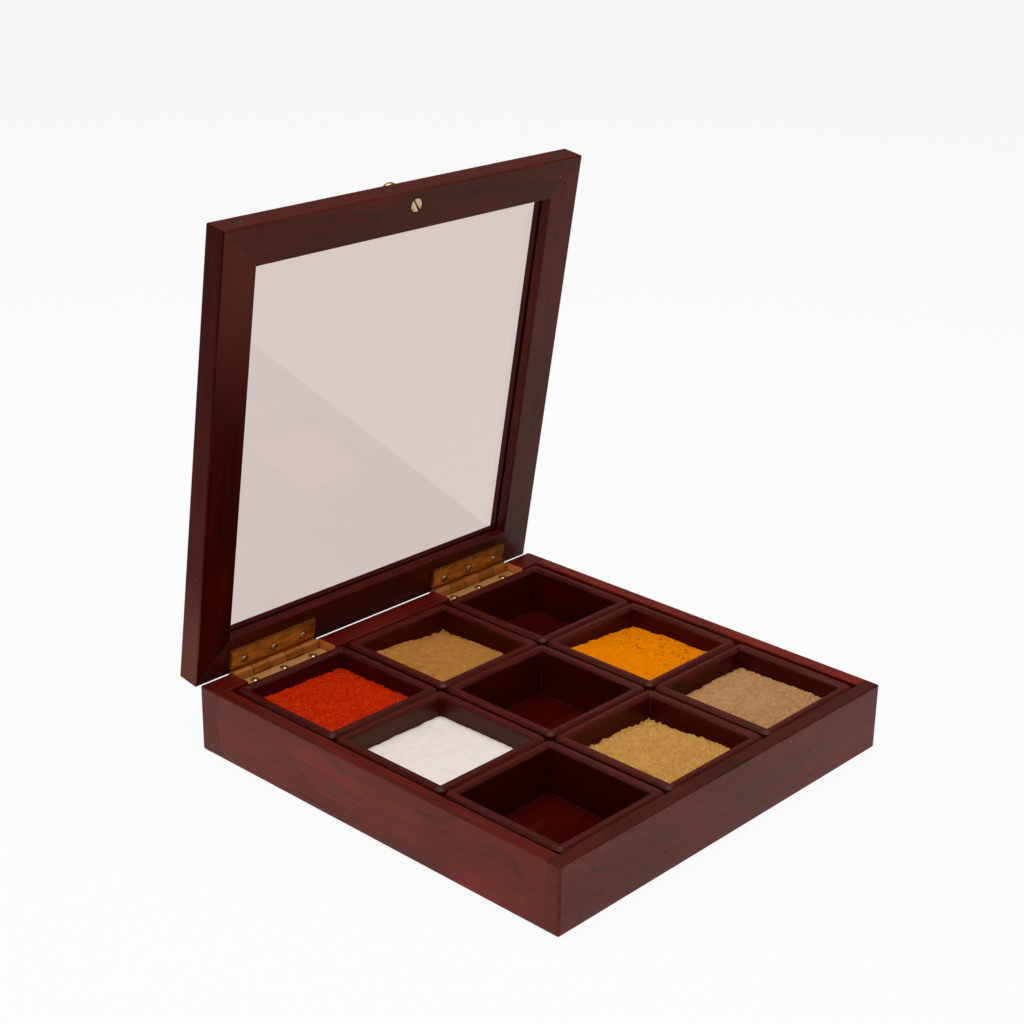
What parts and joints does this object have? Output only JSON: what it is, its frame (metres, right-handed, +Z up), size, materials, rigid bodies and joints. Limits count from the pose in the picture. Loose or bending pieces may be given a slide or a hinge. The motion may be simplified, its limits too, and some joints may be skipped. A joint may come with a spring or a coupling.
{
  "type": "wooden spice box",
  "caption": "Square wooden spice box with lift-out trays of ground spice under a glazed lid on two butt hinges.",
  "frame": {"origin": "middle of the box on the surface that it stands on", "axes": "+X to the right along the front, +Y to the back where the hinges are, +Z up"},
  "size_m": [0.2188, 0.2331, 0.2483],
  "materials": {
    "stained_wood": "red-brown stained hardwood, semi-gloss, worn lighter on its edges",
    "panel_wood": "thin stained wooden panel, semi-matt",
    "tray_wood": "red-brown stained hardwood, semi-matt, dusted with spice",
    "clear_glass": "clear sheet glass",
    "aged_brass": "aged brass, slightly dull",
    "turned_brass": "turned brass, polished",
    "bright_steel": "slotted screw heads, rubbed bright",
    "dull_steel": "dull steel wire",
    "red_chilli": "dry coarse red powder",
    "tan_spice": "dry tan powder",
    "turmeric": "dry deep yellow powder",
    "salt": "fine white salt",
    "ginger": "dry pale yellow-brown powder",
    "brown_spice": "dry coarse brown powder"
  },
  "bodies": {
    "box": {"front_wall": "stained_wood", "back_wall": "stained_wood", "left_wall": "stained_wood", "right_wall": "stained_wood", "bottom_panel": "panel_wood", "box_brads": "dull_steel", "left_box_leaf": "aged_brass", "right_box_leaf": "aged_brass", "left_hinge_pin": "aged_brass", "right_hinge_pin": "aged_brass", "box_hinge_screws": "bright_steel"},
    "lid": {"lid_front_rail": "stained_wood", "lid_back_rail": "stained_wood", "lid_left_rail": "stained_wood", "lid_right_rail": "stained_wood", "glass_pane": "clear_glass", "lid_staples": "dull_steel", "knob": "turned_brass", "knob_screw": "bright_steel", "left_lid_leaf": "aged_brass", "right_lid_leaf": "aged_brass", "lid_hinge_screws": "bright_steel"},
    "front_left_tray": {"front_left_tray_sides": "tray_wood", "front_left_tray_ends": "tray_wood", "front_left_tray_base": "tray_wood"},
    "front_middle_tray": {"front_middle_tray_sides": "tray_wood", "front_middle_tray_ends": "tray_wood", "front_middle_tray_base": "tray_wood", "ginger_heap": "ginger"},
    "front_right_tray": {"front_right_tray_sides": "tray_wood", "front_right_tray_ends": "tray_wood", "front_right_tray_base": "tray_wood", "brown_spice_heap": "brown_spice"},
    "middle_left_tray": {"middle_left_tray_sides": "tray_wood", "middle_left_tray_ends": "tray_wood", "middle_left_tray_base": "tray_wood", "salt_heap": "salt"},
    "middle_middle_tray": {"middle_middle_tray_sides": "tray_wood", "middle_middle_tray_ends": "tray_wood", "middle_middle_tray_base": "tray_wood"},
    "middle_right_tray": {"middle_right_tray_sides": "tray_wood", "middle_right_tray_ends": "tray_wood", "middle_right_tray_base": "tray_wood", "turmeric_heap": "turmeric"},
    "back_left_tray": {"back_left_tray_sides": "tray_wood", "back_left_tray_ends": "tray_wood", "back_left_tray_base": "tray_wood", "red_chilli_heap": "red_chilli"},
    "back_middle_tray": {"back_middle_tray_sides": "tray_wood", "back_middle_tray_ends": "tray_wood", "back_middle_tray_base": "tray_wood", "tan_spice_heap": "tan_spice"},
    "back_right_tray": {"back_right_tray_sides": "tray_wood", "back_right_tray_ends": "tray_wood", "back_right_tray_base": "tray_wood"}
  },
  "joints": [
    {"name": "lid_hinge", "type": "hinge", "parent": "box", "child": "lid", "pos_m": [0, 0.1097, 0.0293], "axis": [-1, 0, 0], "range_deg": [-81.3, 98.7]},
    {"name": "front_left_tray_lift", "type": "slide", "parent": "box", "child": "front_left_tray", "axis": [0, 0, 1], "range_m": [0, 0.04]},
    {"name": "front_middle_tray_lift", "type": "slide", "parent": "box", "child": "front_middle_tray", "axis": [0, 0, 1], "range_m": [0, 0.04]},
    {"name": "front_right_tray_lift", "type": "slide", "parent": "box", "child": "front_right_tray", "axis": [0, 0, 1], "range_m": [0, 0.04]},
    {"name": "middle_left_tray_lift", "type": "slide", "parent": "box", "child": "middle_left_tray", "axis": [0, 0, 1], "range_m": [0, 0.04]},
    {"name": "middle_middle_tray_lift", "type": "slide", "parent": "box", "child": "middle_middle_tray", "axis": [0, 0, 1], "range_m": [0, 0.04]},
    {"name": "middle_right_tray_lift", "type": "slide", "parent": "box", "child": "middle_right_tray", "axis": [0, 0, 1], "range_m": [0, 0.04]},
    {"name": "back_left_tray_lift", "type": "slide", "parent": "box", "child": "back_left_tray", "axis": [0, 0, 1], "range_m": [0, 0.04]},
    {"name": "back_middle_tray_lift", "type": "slide", "parent": "box", "child": "back_middle_tray", "axis": [0, 0, 1], "range_m": [0, 0.04]},
    {"name": "back_right_tray_lift", "type": "slide", "parent": "box", "child": "back_right_tray", "axis": [0, 0, 1], "range_m": [0, 0.04]}
  ]
}
